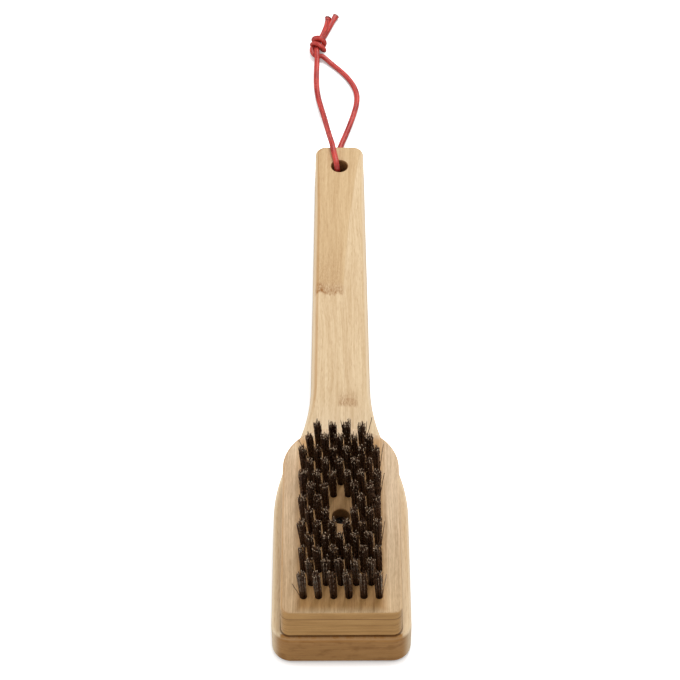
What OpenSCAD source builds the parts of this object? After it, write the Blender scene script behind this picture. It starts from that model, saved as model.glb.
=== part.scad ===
// Grill brush: a one-piece bamboo handle board, a bristle head and a knotted hanging cord.
// All sizes are in millimetres. The brush lies on its back with the bristles up.
// +Y points from the head to the handle's end, +Z points up from the resting surface, and
// the origin is on that surface, under the middle of the wood.

/* [Handle board] */
// Length from the paddle's front edge to the handle's end
board_len = 305; // [270:1:380]
// Thickness of the board
board_t = 18; // [14:0.5:24]
// Width of the paddle
paddle_w = 61; // [58:0.5:76]
// Length of the paddle's straight sides, from the front edge
paddle_len = 66.5; // [60:0.5:90]
// Radius of the paddle's front corners
paddle_corner_r = 8.5; // [3:0.5:12]
// Radius of the shoulders, where the paddle narrows
shoulder_r = 83; // [50:1:90]
// Radius of the hollow curves that run into the neck
neck_r = 105; // [70:1:130]
// Width of the handle at the neck
neck_w = 28.2; // [22:0.2:36]
// Width of the handle near its end
end_w = 25.2; // [20:0.2:32]
// Radius of the corners at the handle's end
end_corner_r = 5.5; // [3:0.5:9]
// Rounding of the paddle's edges
paddle_edge_r = 1.8; // [0.6:0.2:2.4]
// Rounding of the handle's long edges
grip_edge_r = 3.2; // [1:0.2:5]
// Rounding of the edges at the handle's end
end_edge_r = 2; // [0.6:0.2:2.8]
// Diameter of the hang hole
hang_hole_d = 8.2; // [7.6:0.1:10]
// Distance of the hang hole's centre from the handle's end
hang_hole_inset = 15; // [13:0.5:17]

/* [Head block] */
// Length of the block
head_len = 100; // [98:0.5:110]
// Width of the block
head_w = 52.5; // [46:0.5:57]
// Thickness of the block
head_t = 18; // [14:0.5:24]
// Width of the ledge that the block leaves at the paddle's front
head_ledge = 2; // [2:0.5:5]
// Radius of the block's front corners
head_front_r = 4; // [2:0.5:8]
// Radius of the block's back corners
head_back_r = 22; // [10:0.5:25]
// Rounding of the block's top edge
head_edge_r = 1; // [0.4:0.2:2]

/* [Bristles] */
// Number of tuft rows, an odd number so that there is a middle row for the screw's well
tuft_rows = 13; // [9:2:13]
// Distance between the tufts of a row
tuft_pitch = 6.5; // [5.5:0.1:7]
// Distance of the first row from the block's front
first_row_in = 8.8; // [6:0.2:9]
// Distance of the last row from the block's back
last_row_in = 10.8; // [9:0.2:13]
// Diameter of a tuft where it leaves the block, and of its hole
tuft_base_d = 2.7; // [2:0.1:3.4]
// Diameter of a tuft at its trimmed tip
tuft_tip_d = 3.6; // [2.8:0.1:4.4]
// Height of the bristles above the block
tuft_h = 17.5; // [10:0.5:24]
// Depth of a tuft's hole, to the start of its drill point
tuft_seat = 11; // [8:0.5:12]
// Least distance from a tuft's centre to the round back corners of the block
tuft_edge_gap = 6; // [5:0.1:6.1]
// Radius of the bare patch in the middle of the rows, where the screw's well is
bare_patch_r = 8; // [7.4:0.1:9]
// Length of the wire anchor that holds a tuft, across its hole
anchor_l = 3.9; // [3.6:0.1:4.6]
// Thickness of the anchor
anchor_t = 0.4; // [0.2:0.05:0.6]
// Height of the anchor
anchor_h = 1.6; // [1:0.1:2.4]

/* [Screw] */
// Diameter of the screw's head
screw_head_d = 7; // [5.6:0.1:7.2]
// Height of the screw's head
screw_head_h = 2.6; // [2:0.1:3.2]
// Diameter of the screw's thread
screw_d = 4; // [3:0.1:4.5]
// Wood left under the screw's point
screw_floor = 4; // [3:0.5:6]
// Diameter of the well above the screw
well_d = 8; // [7.4:0.1:9]
// How far the well lies behind the middle row
well_back = 1.7; // [0:0.1:2.5]
// Depth of the well, from the block's top to the screw head's seat
well_depth = 7; // [5:0.5:9]

/* [Cord] */
// Diameter of the cord
cord_d = 2.4; // [1.8:0.1:2.4]

/* [Hidden] */
// Gap between the cord and the wood that lies on it
cord_gap = 0.05;
// Radial clearance of the screw's shank in the block
shank_gap = 0.2;
// Wires between the bottom of a tuft's hole and its anchor
fold_h = 0.5;
// Half the angle of a drill's point
drill_half_angle = 59;
// Trimming chamfer round a tuft's tip
tip_chamfer = 0.3;
// Length of the screw's point, radius of its head's dome, and the size of its cross recess
screw_point = 4;
dome_r = screw_head_d * 0.75;
recess_w = 0.9;
recess_l = 3.6;
recess_h = 1.5;
// How far a cut runs past the face that it opens
past = 1;
// Sides of a round bore, steps of a rounded edge and of a corner arc, stations along the
// handle's straight sides, sides of the cord and of the knot's balls
round_fn = 48;
edge_steps = 4;
arc_steps = 7;
grip_stations = 6;
cord_sides = 8;
knot_fn = 24;
// Length in which the handle's edge rounding eases off towards the handle's end
ease_len = 45;

paddle_half = paddle_w / 2;
neck_half = neck_w / 2;
end_half = end_w / 2;
hang_hole_y = board_len - hang_hole_inset;
head_top = board_t + head_t;
head_back_y = head_ledge + head_len;
row_pitch = (head_len - first_row_in - last_row_in) / (tuft_rows - 1);
middle_row = (tuft_rows - 1) / 2;
middle_row_y = head_ledge + first_row_in + middle_row * row_pitch;
well_y = middle_row_y + well_back;
screw_seat = head_top - well_depth;
screw_len = screw_seat - screw_floor;
tuft_foot = head_top - tuft_seat;
drill_point_h = tuft_base_d / 2 / tan(drill_half_angle);

// The shoulder's convex arc meets the neck's hollow arc at this angle
shoulder_x = paddle_half - shoulder_r;
shoulder_turn = acos((neck_half + neck_r - shoulder_x) / (shoulder_r + neck_r));
neck_y = paddle_len + (shoulder_r + neck_r) * sin(shoulder_turn);

// The wood rests on its front edge and on the cord, which passes under it from the hang hole
contact_y = paddle_edge_r;
lie_angle = asin((cord_d + cord_gap) / (hang_hole_y + hang_hole_d / 2 - contact_y));
front_reach = (board_t - paddle_edge_r) * sin(lie_angle);
back_reach = contact_y + (board_len - end_edge_r - contact_y) * cos(lie_angle)
  + end_edge_r * (1 - sin(lie_angle));
middle_y = (back_reach - front_reach) / 2;

// Where the handle's end and the hang hole are, and the height of the cord's centre line as it
// lies on the resting surface and as it passes over the handle's end
end_y = (back_reach + front_reach) / 2;
hole_y = contact_y - middle_y + (hang_hole_y - contact_y) * cos(lie_angle);
lying_z = cord_d / 2;
over_z = board_t * cos(lie_angle) + (board_len - contact_y) * sin(lie_angle) + cord_gap + lying_z;

// The cord's loop runs from the knot over the handle's end, down the hang hole, out under the
// handle and back along the resting surface to the knot. Each place of a route is given
// sideways, along the handle from its end or from the hang hole, and up from lying_z. The
// heights are for a cord that is drawn_rise higher on the handle than on the surface.
drawn_rise = 20.6;
over_route = [
  [-12.8, 88.4, 1.7], [-13.1, 83.9, 0.8], [-13.5, 78.4, 0.1], [-13.6, 72.4, 0],
  [-13.3, 66.4, 0], [-12.3, 58.4, 0.2], [-11, 51.4, 0.9], [-9.6, 44.4, 2.1],
  [-8.3, 37.4, 3.9], [-7.3, 30.4, 6.5], [-6.4, 23.4, 9.6], [-5.7, 16.4, 13.1],
  [-5.1, 10.4, 16.2], [-4.4, 4.4, 19.1], [-3.8, -0.1, 20.6], [-3.1, -5.1, 20.6],
];
hole_route = [
  [-2.2, 5.4, 20.6], [-1.8, 2.6, 20.5], [-1.5, 0.3, 19.2], [-1.2, -1.1, 16.8],
  [-1.2, -1.2, 10.8], [-1.2, -1.3, 4.8], [-1.2, -0.5, 2.1], [-1.1, 1.2, 0.6],
  [-1.1, 3.5, 0],
];
ground_route = [
  [-1.4, -5.6, 0], [-1.5, 1.4, 0], [-1.3, 8.4, 0], [-0.5, 14.9, 0], [1.2, 22.2, 0],
  [3.4, 29.9, 0], [5.7, 38.4, 0], [7.7, 46.9, 0], [9, 54.9, 0], [8.8, 62.4, 0],
  [6.9, 69.2, 0], [3.5, 75.9, 0], [-0.6, 81.8, 0], [-4.9, 86.9, 0.1], [-8.5, 91, 0.7],
];
// The two cut ends, from the knot to their tips
left_tail_route = [
  [-11.2, 104.2, 0.9], [-10.4, 107.1, 0.3], [-9.5, 110.4, 0], [-8.5, 114.4, 0],
  [-7.6, 118.4, 0], [-7.5, 122.4, 0], [-7.7, 126.4, 0],
];
right_tail_route = [
  [-9.6, 104.3, 2.9], [-8.8, 107.4, 2.4], [-7.9, 110.4, 2.1], [-6.8, 114.4, 1.8],
  [-5.1, 119.2, 1], [-3.6, 123.9, 0.3], [-2.3, 127.8, 0],
];
// Centre and radius of each ball that the knot's outer shape is drawn around, from the
// handle's end and up from the surface
knot_balls = [
  [-12.9, 91.8, 3.3, 3.3], [-10.6, 93.4, 3.2, 3.2], [-13.1, 96, 4.3, 4.3],
  [-11.8, 96.8, 4.2, 4.2], [-12.3, 100.2, 4.1, 4.1], [-10.6, 101, 4.3, 3.2],
];

function placed(route, from_y, rise) =
  [for (p = route) [p.x, from_y + p.y, lying_z + p.z * rise / drawn_rise]];
loop = concat(
  placed(over_route, end_y, over_z - lying_z), placed(hole_route, hole_y, over_z - lying_z),
  placed(ground_route, end_y, drawn_rise)
);
left_tail = placed(left_tail_route, end_y, drawn_rise);
right_tail = placed(right_tail_route, end_y, drawn_rise);

function two_digits(n) = str(n < 10 ? "0" : "", n);
function row_names(what) = [for (row = [1 : tuft_rows]) str(what, "_row_", two_digits(row))];
tuft_nodes = row_names("tuft");
anchor_nodes = row_names("anchor");

// A rim point: its place, the way that the rim faces there, and its edge rounding
function rim_point(centre, r, angle, edge_r) =
  [centre.x + r * cos(angle), centre.y + r * sin(angle), cos(angle), sin(angle), edge_r];
function rim_arc(centre, r, from, to, edge_r) =
  [for (i = [0 : arc_steps]) rim_point(centre, r, from + (to - from) * i / arc_steps, edge_r)];
function mirrored(rim) =
  [for (i = [len(rim) - 1 : -1 : 0]) [-rim[i][0], rim[i][1], -rim[i][2], rim[i][3], rim[i][4]]];

// Rounding of the board's long edges, from the paddle to the handle's end
function board_edge_r(y) = lookup(y, [
  [0, paddle_edge_r], [paddle_len, paddle_edge_r], [neck_y, grip_edge_r],
  [board_len - ease_len, grip_edge_r], [board_len - end_corner_r, end_edge_r],
]);
function shoulder_side() =
  [for (point = rim_arc([shoulder_x, paddle_len], shoulder_r, 0, shoulder_turn, 0))
    [point[0], point[1], point[2], point[3], board_edge_r(point[1])]];
// The hollow arc starts where the shoulder ends. Its centre is outside the rim, so the rim
// faces towards it.
function neck_side() =
  [for (i = [1 : arc_steps]) let (
      angle = shoulder_turn * (1 - i / arc_steps),
      y = neck_y - neck_r * sin(angle)
    )
    [neck_half + neck_r * (1 - cos(angle)), y, cos(angle), sin(angle), board_edge_r(y)]];
// Stations along the handle's straight, slightly tapered sides
function grip_side() =
  let (run = board_len - end_corner_r - neck_y, taper = atan((neck_half - end_half) / run))
  [for (i = [1 : grip_stations - 1]) let (along = run * i / grip_stations)
    [
      neck_half - along * tan(taper), neck_y + along, cos(taper), sin(taper),
      board_edge_r(neck_y + along),
    ]];

function board_rim() = let (half = concat(
    rim_arc([paddle_half - paddle_corner_r, paddle_corner_r], paddle_corner_r, -90, 0, paddle_edge_r),
    shoulder_side(),
    neck_side(),
    grip_side(),
    rim_arc([end_half - end_corner_r, board_len - end_corner_r], end_corner_r, 0, 90, end_edge_r)
  ))
  concat(half, mirrored(half));

function head_rim() = let (half = concat(
    rim_arc([head_w / 2 - head_front_r, head_ledge + head_front_r], head_front_r, -90, 0, head_edge_r),
    rim_arc([head_w / 2 - head_back_r, head_back_y - head_back_r], head_back_r, 0, 90, head_edge_r)
  ))
  concat(half, mirrored(half));

// One level of a slab: the rim drawn in by its rounding, turn degrees above the edge's start
function inset(rim, turn) =
  [for (point = rim) let (in = point[4] * (1 - sin(turn)))
    [point[0] - point[2] * in, point[1] - point[3] * in]];
function bottom_level(rim, turn) = let (flat = inset(rim, turn))
  [for (i = [0 : len(rim) - 1]) [flat[i].x, flat[i].y, rim[i][4] * (1 - cos(turn))]];
function top_level(rim, turn, thickness) = let (flat = inset(rim, turn))
  [for (i = [0 : len(rim) - 1]) [flat[i].x, flat[i].y, thickness - rim[i][4] * (1 - cos(turn))]];

// Faces between rings of points
function wall_faces(rings, sides) =
  [for (k = [0 : rings - 2], i = [0 : sides - 1])
    let (j = (i + 1) % sides, low = k * sides, high = low + sides)
    each [[low + i, high + i, high + j], [low + i, high + j, low + j]]];
function tube_faces(rings, sides) = concat(
  [[for (i = [0 : sides - 1]) i]],
  wall_faces(rings, sides),
  [[for (i = [sides - 1 : -1 : 0]) (rings - 1) * sides + i]]
);
// The flat ends of a slab are closed by strips that run from one side of its rim to the other
function slab_faces(rings, sides) = let (last = (rings - 1) * sides) concat(
  [for (i = [0 : sides / 2 - 2]) [i, i + 1, sides - 2 - i, sides - 1 - i]],
  wall_faces(rings, sides),
  [for (i = [0 : sides / 2 - 2])
    [last + sides - 1 - i, last + sides - 2 - i, last + i + 1, last + i]]
);

// A flat board with the given rim, its top edge rounded and, where wanted, its bottom edge
module slab(rim, thickness, round_bottom) {
  steps = [for (i = [0 : edge_steps]) 90 * i / edge_steps];
  lower = round_bottom
    ? [for (turn = steps) bottom_level(rim, turn)]
    : [[for (point = rim) [point[0], point[1], 0]]];
  upper = [for (i = [edge_steps : -1 : 0]) top_level(rim, steps[i], thickness)];
  levels = concat(lower, upper);
  polyhedron([for (level = levels) each level], slab_faces(len(levels), len(rim)));
}

// Wood and what it carries are drawn lying flat, front edge at y = 0, and then leant back
module at_rest() {
  translate([0, contact_y - middle_y, 0])
    rotate([lie_angle, 0, 0])
      translate([0, -contact_y, 0])
        children();
}

// Rows are counted from 0 at the head's front
function row_y(row) = head_ledge + first_row_in + row * row_pitch;
function clear_of_well(x, y) = norm([x, y - middle_row_y]) >= bare_patch_r;
function clear_of_corner(x, y) =
  let (over_x = abs(x) - (head_w / 2 - head_back_r), over_y = y - (head_back_y - head_back_r))
  over_x <= 0 || over_y <= 0 || norm([over_x, over_y]) <= head_back_r - tuft_edge_gap;
// Side to side places of the tufts in a row: six and five in turn, fewer by the well and corners
function row_places(row) =
  [for (place = row % 2 == 0 ? [-2.5 : 2.5] : [-2 : 2]) let (x = place * tuft_pitch)
    if (clear_of_well(x, row_y(row)) && clear_of_corner(x, row_y(row))) x];

module each_tuft(row) {
  for (x = row_places(row))
    translate([x, row_y(row), 0])
      children();
}

module tuft_hole() {
  r = tuft_base_d / 2;
  rotate_extrude($fn = round_fn)
    polygon([
      [0, tuft_foot - drill_point_h], [r, tuft_foot], [r, head_top + past], [0, head_top + past],
    ]);
}

module anchor() {
  translate([-anchor_l / 2, -anchor_t / 2, tuft_foot + fold_h])
    cube([anchor_l, anchor_t, anchor_h]);
}

module tuft() {
  r = tuft_base_d / 2;
  tip_r = tuft_tip_d / 2;
  tip_z = head_top + tuft_h;
  difference() {
    rotate_extrude($fn = round_fn)
      polygon([
        [0, tuft_foot - drill_point_h], [r, tuft_foot], [r, head_top],
        [tip_r, tip_z - tip_chamfer], [tip_r - tip_chamfer, tip_z], [0, tip_z],
      ]);
    anchor();
  }
}

module tuft_row(row) {
  color([0.16, 0.13, 0.11])
    at_rest()
      each_tuft(row)
        tuft();
}

module anchor_row(row) {
  color([0.6, 0.6, 0.58])
    at_rest()
      each_tuft(row)
        anchor();
}

module screw_hole(depth, clearance) {
  translate([0, well_y, screw_seat - depth])
    cylinder(d = screw_d + 2 * clearance, h = depth + past, $fn = round_fn);
}

module screw_point_shape() {
  translate([0, well_y, screw_seat - screw_len])
    cylinder(d1 = 0, d2 = screw_d, h = screw_point, $fn = round_fn);
}

module handle_board() {
  color([0.85, 0.75, 0.58])
    at_rest()
      difference() {
        slab(board_rim(), board_t, true);
        translate([0, hang_hole_y, -past])
          cylinder(d = hang_hole_d, h = board_t + 2 * past, $fn = round_fn);
        screw_hole(screw_len - screw_point, 0);
        screw_point_shape();
      }
}

module head_block() {
  color([0.78, 0.66, 0.49])
    at_rest()
      difference() {
        translate([0, 0, board_t])
          slab(head_rim(), head_t, false);
        for (row = [0 : tuft_rows - 1])
          each_tuft(row) {
            tuft_hole();
            anchor();
          }
        translate([0, well_y, screw_seat])
          cylinder(d = well_d, h = well_depth + past, $fn = round_fn);
        screw_hole(screw_len, shank_gap);
      }
}

module head_screw() {
  color([0.2, 0.19, 0.18])
    at_rest()
      difference() {
        union() {
          intersection() {
            translate([0, well_y, screw_seat])
              cylinder(d = screw_head_d, h = screw_head_h, $fn = round_fn);
            translate([0, well_y, screw_seat + screw_head_h - dome_r])
              sphere(r = dome_r, $fn = round_fn);
          }
          screw_shank();
        }
        for (side = [[recess_l, recess_w], [recess_w, recess_l]])
          translate([-side.x / 2, well_y - side.y / 2, screw_seat + screw_head_h - recess_h])
            cube([side.x, side.y, recess_h + past]);
      }
}

module screw_shank() {
  translate([0, well_y, screw_seat - screw_len + screw_point])
    cylinder(d = screw_d, h = screw_len - screw_point + past, $fn = round_fn);
  screw_point_shape();
}

// The cord's tube: a ring of points square to the route at each of its points
function unit(v) = v / norm(v);
function heading(route, i) =
  unit(route[min(i + 1, len(route) - 1)] - route[max(i - 1, 0)]);
function carried(side, ahead) = unit(side - (side * ahead) * ahead);
function sides_along(route, i, side) =
  i == len(route) ? []
  : let (here = carried(side, heading(route, i))) concat([here], sides_along(route, i + 1, here));
function tube_points(route) =
  let (sides = sides_along(route, 0, [1, 0, 0]))
  [for (i = [0 : len(route) - 1]) let (up = cross(sides[i], heading(route, i)))
    for (k = [0 : cord_sides - 1]) let (turn = 360 * k / cord_sides)
      route[i] + cord_d / 2 * (cos(turn) * sides[i] + sin(turn) * up)];

module cord_tube(route) {
  polyhedron(tube_points(route), tube_faces(len(route), cord_sides));
}

module hang_cord() {
  color([0.78, 0.2, 0.17])
    cord_tube(loop);
}

module cord_tail_left() {
  color([0.78, 0.2, 0.17])
    cord_tube(left_tail);
}

module cord_tail_right() {
  color([0.78, 0.2, 0.17])
    cord_tube(right_tail);
}

module cord_knot() {
  color([0.7, 0.16, 0.13])
    hull()
      for (ball = knot_balls)
        translate([ball.x, end_y + ball.y, ball.z])
          sphere(r = ball[3], $fn = knot_fn);
}

handle_board();
head_block();
head_screw();
for (row = [0 : tuft_rows - 1]) {
  tuft_row(row);
  anchor_row(row);
}
hang_cord();
cord_knot();
cord_tail_left();
cord_tail_right();
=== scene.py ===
"""A grill brush that lies on its back: bamboo board and block, wire tufts, screw and red cord.

The wood is drawn flat, in millimetres, with the board's front edge at y = 0 and its underside
at z = 0. As each mesh is finished it is leant back on its cord and put in the shared frame.
"""

import logging
import math
import random
from collections.abc import Iterable, Sequence
from dataclasses import dataclass, replace
from enum import Enum

import bmesh
import bpy
from bmesh.types import BMEdge, BMesh, BMFace, BMVert
from bpy.types import Material, Mesh, Node, NodeTree
from mathutils import Matrix, Vector


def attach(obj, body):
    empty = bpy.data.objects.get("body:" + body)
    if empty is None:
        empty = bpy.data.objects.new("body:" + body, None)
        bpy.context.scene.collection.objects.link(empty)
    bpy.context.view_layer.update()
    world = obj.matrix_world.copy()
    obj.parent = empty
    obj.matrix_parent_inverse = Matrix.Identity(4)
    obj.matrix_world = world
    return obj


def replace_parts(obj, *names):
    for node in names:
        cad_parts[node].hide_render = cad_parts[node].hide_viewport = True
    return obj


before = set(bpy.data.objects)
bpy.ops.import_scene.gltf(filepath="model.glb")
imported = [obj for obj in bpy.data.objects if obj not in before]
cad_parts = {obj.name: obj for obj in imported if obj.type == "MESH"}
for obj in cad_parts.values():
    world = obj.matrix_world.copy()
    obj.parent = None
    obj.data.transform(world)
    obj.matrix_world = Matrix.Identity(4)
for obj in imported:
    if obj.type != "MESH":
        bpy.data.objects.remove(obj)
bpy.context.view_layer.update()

log = logging.getLogger("grill_brush")

MM = 0.001
BODY = "root"
CORD_LIFT = 2.45
CORD_REACH = 292.3
LIE_ANGLE = math.asin(CORD_LIFT / CORD_REACH)
CONTACT_Y = 1.8
MIDDLE_Y = 152.4184

BOARD_TOP = 18.0
BLOCK_TOP = 36.0
BLOCK_WIDTH = 52.5
BLOCK_LEDGE = 2.0
BLOCK_CORNER = 4.0
HOLE_SIDES = 48

Colour = tuple[float, float, float, float]
Place = tuple[float, float, float]
Socket = bpy.types.NodeSocket
Outputs = bpy.types.NodeOutputs


def wood_matrix() -> Matrix:
    """Matrix from the flat wood in millimetres to the shared frame in metres."""
    lean = Matrix.Rotation(LIE_ANGLE, 4, "X")
    place = Matrix.Translation((0, CONTACT_Y - MIDDLE_Y, 0))
    return Matrix.Scale(MM, 4) @ place @ lean @ Matrix.Translation((0, -CONTACT_Y, 0))


def rgb(red: int, green: int, blue: int) -> Colour:
    """A colour as the eye reads it on a screen, from 0 to 255, as linear light."""
    shares = (red / 255, green / 255, blue / 255)
    linear = [s / 12.92 if s <= 0.04045 else ((s + 0.055) / 1.055) ** 2.4 for s in shares]
    return (linear[0], linear[1], linear[2], 1.0)


class Kind(Enum):
    """Kinds of input and output of a shared effect."""

    NUMBER = "NodeSocketFloat"
    VECTOR = "NodeSocketVector"


class Graph:
    """Adds and joins the nodes of one shader tree."""

    def __init__(self, tree: NodeTree) -> None:
        """Keeps the tree that the nodes go into."""
        self.tree = tree

    def feed(self, node: Node, values: dict) -> None:
        """Joins inputs of a node to other nodes' outputs, or sets their own values.

        Args:
            node: The node.
            values: What each input, by name or number, is joined to or set to.
        """
        for key, value in values.items():
            if isinstance(value, Socket):
                self.tree.links.new(value, node.inputs[key])
            else:
                node.inputs[key].default_value = value

    def node(self, kind: str, inputs: dict | None = None, **settings: object) -> Node:
        """Adds a node.

        Args:
            kind: Blender's name of the node type.
            inputs: What each input, by name or number, is joined to or set to.
            settings: The node's own properties.

        Returns:
            The new node.
        """
        made = self.tree.nodes.new(kind)
        for name, value in settings.items():
            setattr(made, name, value)
        self.feed(made, inputs or {})
        return made

    def math(self, operation: str, *values: object) -> Socket:
        """The result of a sum on one to three numbers."""
        return self.node("ShaderNodeMath", dict(enumerate(values)), operation=operation).outputs[0]

    def times(self, first: object, *others: object) -> Socket:
        """The product of two or more numbers."""
        for other in others:
            first = self.math("MULTIPLY", first, other)
        return first

    def ramp(self, value: object, slope: object, start: object) -> Socket:
        """A number times a slope, plus a start."""
        return self.math("MULTIPLY_ADD", value, slope, start)

    def minus(self, value: object, less: object) -> Socket:
        """A number less another."""
        return self.math("SUBTRACT", value, less)

    def unsigned(self, value: object) -> Socket:
        """A number without its sign."""
        return self.math("ABSOLUTE", value)

    def vector(self, operation: str, *values: object) -> Socket:
        """The result of a sum on vectors."""
        inputs = dict(enumerate(values))
        return self.node("ShaderNodeVectorMath", inputs, operation=operation).outputs[0]

    def split(self, vector: Socket) -> Outputs:
        """The three numbers of a vector."""
        return self.node("ShaderNodeSeparateXYZ", {0: vector}).outputs

    def join(self, x: object, y: object, z: object) -> Socket:
        """A vector from three numbers."""
        return self.node("ShaderNodeCombineXYZ", {0: x, 1: y, 2: z}).outputs[0]

    def between(
        self, value: object, low: float, high: float, start: float = 0.0, end: float = 1.0
    ) -> Socket:
        """A smooth step.

        Args:
            value: The number that is looked at.
            low: Where the step starts.
            high: Where the step ends.
            start: The result below low.
            end: The result above high.

        Returns:
            The output socket of the step.
        """
        inputs = {"Value": value, "From Min": low, "From Max": high, "To Min": start, "To Max": end}
        kind = "ShaderNodeMapRange"
        return self.node(kind, inputs, interpolation_type="SMOOTHSTEP").outputs[0]

    def noise(
        self, place: object, stretch: Place, detail: float = 2.0, roughness: float = 0.5
    ) -> Socket:
        """The value of a soft noise, about 0.5 on average.

        Args:
            place: Where the point is.
            stretch: How many waves there are in one unit, in each direction.
            detail: How many times finer noise is added.
            roughness: How strong the finer noise is.

        Returns:
            The output socket of the noise.
        """
        stretched = self.vector("MULTIPLY", place, stretch)
        inputs = {"Vector": stretched, "Scale": 1.0, "Detail": detail, "Roughness": roughness}
        return self.node("ShaderNodeTexNoise", inputs).outputs[0]

    def mix(self, share: object, first: object, second: object, blend: str = "MIX") -> Socket:
        """Two colours mixed by a share, which is held from 0 to 1."""
        inputs = {0: share, 6: first, 7: second}
        return self.node("ShaderNodeMix", inputs, data_type="RGBA", blend_type=blend).outputs[2]

    def tint(self, share: object, colour: object, tint: Colour) -> Socket:
        """A colour multiplied by a tint, as far as a share says."""
        return self.mix(share, colour, tint, "MULTIPLY")

    def bump(self, height: object, strength: float, distance: float) -> Socket:
        """A normal tilted by a height."""
        inputs = {"Strength": strength, "Distance": distance, "Height": height}
        return self.node("ShaderNodeBump", inputs).outputs[0]

    def attribute(self, name: str, output: str = "Fac") -> Socket:
        """A value that the mesh carries."""
        return self.node("ShaderNodeAttribute", attribute_name=name).outputs[output]

    def millimetres(self) -> Socket:
        """Object coordinates in millimetres."""
        coordinates = self.node("ShaderNodeTexCoord").outputs["Object"]
        return self.vector("MULTIPLY", coordinates, (1 / MM, 1 / MM, 1 / MM))

    def group(self, effect: type["Effect"], inputs: dict | None = None) -> Outputs:
        """The outputs of a shared effect."""
        return self.node("ShaderNodeGroup", inputs, node_tree=effect.tree()).outputs


class Effect:
    """A part of a material that several finishes share, kept as one node group."""

    name = ""
    inputs: dict[str, Kind] = {}
    outputs: dict[str, Kind] = {}

    @classmethod
    def tree(cls) -> NodeTree:
        """The node group, built the first time that it is asked for.

        Returns:
            The node group.
        """
        found = bpy.data.node_groups.get(cls.name)
        if found:
            return found
        made = bpy.data.node_groups.new(cls.name, "ShaderNodeTree")
        for way, sockets in (("INPUT", cls.inputs), ("OUTPUT", cls.outputs)):
            for name, kind in sockets.items():
                made.interface.new_socket(name, in_out=way, socket_type=kind.value)
        graph = Graph(made)
        results = cls.build(graph, graph.node("NodeGroupInput").outputs)
        graph.node("NodeGroupOutput", results)
        return made

    @classmethod
    def build(cls, graph: Graph, given: Outputs) -> dict[str, Socket]:
        """Fills the group. Each effect has its own."""
        raise NotImplementedError


class WoodPlace(Effect):
    """Where a point is on the flat wood, in millimetres, and which way its face looks."""

    name = "wood_place"
    outputs = {"Place": Kind.VECTOR, "End": Kind.NUMBER, "Left": Kind.NUMBER}

    @classmethod
    def build(cls, graph: Graph, given: Outputs) -> dict[str, Socket]:
        """Turns object coordinates back by the angle at which the wood lies.

        Args:
            graph: The group's graph.
            given: The group's inputs.

        Returns:
            What each of the group's outputs gives.
        """
        inputs = {
            "Vector": graph.node("ShaderNodeTexCoord").outputs["Object"],
            "Location": wood_matrix().inverted().translation,
            "Rotation": (-LIE_ANGLE, 0.0, 0.0),
            "Scale": (1 / MM, 1 / MM, 1 / MM),
        }
        place = graph.node("ShaderNodeMapping", inputs, vector_type="POINT").outputs[0]
        facing = graph.split(graph.node("ShaderNodeNewGeometry").outputs["Normal"])
        end = graph.between(graph.unsigned(facing[1]), 0.35, 0.9)
        return {"Place": place, "End": end, "Left": graph.times(facing[0], -1.0)}


class Fibres(Effect):
    """The fibres of bamboo: broad streaks, fine lines and the dark dashes of its bundles.

    Each stretch is in waves per millimetre, across the board, along it and down into it.
    """

    name = "bamboo_fibres"
    inputs = {"Place": Kind.VECTOR}
    outputs = dict.fromkeys(("Streak", "Line", "Dash", "Cloud", "Speckle"), Kind.NUMBER)
    wander = (0.03, 0.018, 0.05)
    wander_size = 5.0
    wiggle = (0.12, 0.06, 0.12)
    wiggle_size = 1.2
    streak = (0.5, 0.016, 0.8)
    line = (1.35, 0.03, 1.9)
    dash = (1.5, 0.16, 2.2)
    cloud = (0.06, 0.02, 0.06)
    speckle = (1.3, 0.3, 1.3)

    @classmethod
    def build(cls, graph: Graph, given: Outputs) -> dict[str, Socket]:
        """Stretches noise along the grain, which wanders a little from side to side.

        Args:
            graph: The group's graph.
            given: The group's inputs.

        Returns:
            What each of the group's outputs gives.
        """
        wander = graph.noise(given["Place"], cls.wander, 1.0)
        wiggle = graph.noise(given["Place"], cls.wiggle, 1.0)
        shift = graph.ramp(wander, cls.wander_size, graph.times(wiggle, cls.wiggle_size))
        moved = graph.vector("ADD", given["Place"], graph.join(shift, 0.0, 0.0))
        short = graph.vector("MULTIPLY", moved, cls.dash)
        cells = graph.node("ShaderNodeTexVoronoi", {"Vector": short, "Scale": 1.0})
        return {
            "Streak": graph.noise(moved, cls.streak, 3.0, 0.6),
            "Line": graph.noise(moved, cls.line, 2.0, 0.6),
            "Dash": graph.between(cells.outputs["Distance"], 0.12, 0.34, 1.0, 0.0),
            "Cloud": graph.noise(moved, cls.cloud),
            "Speckle": graph.noise(moved, cls.speckle, 3.0, 0.75),
        }


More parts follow.
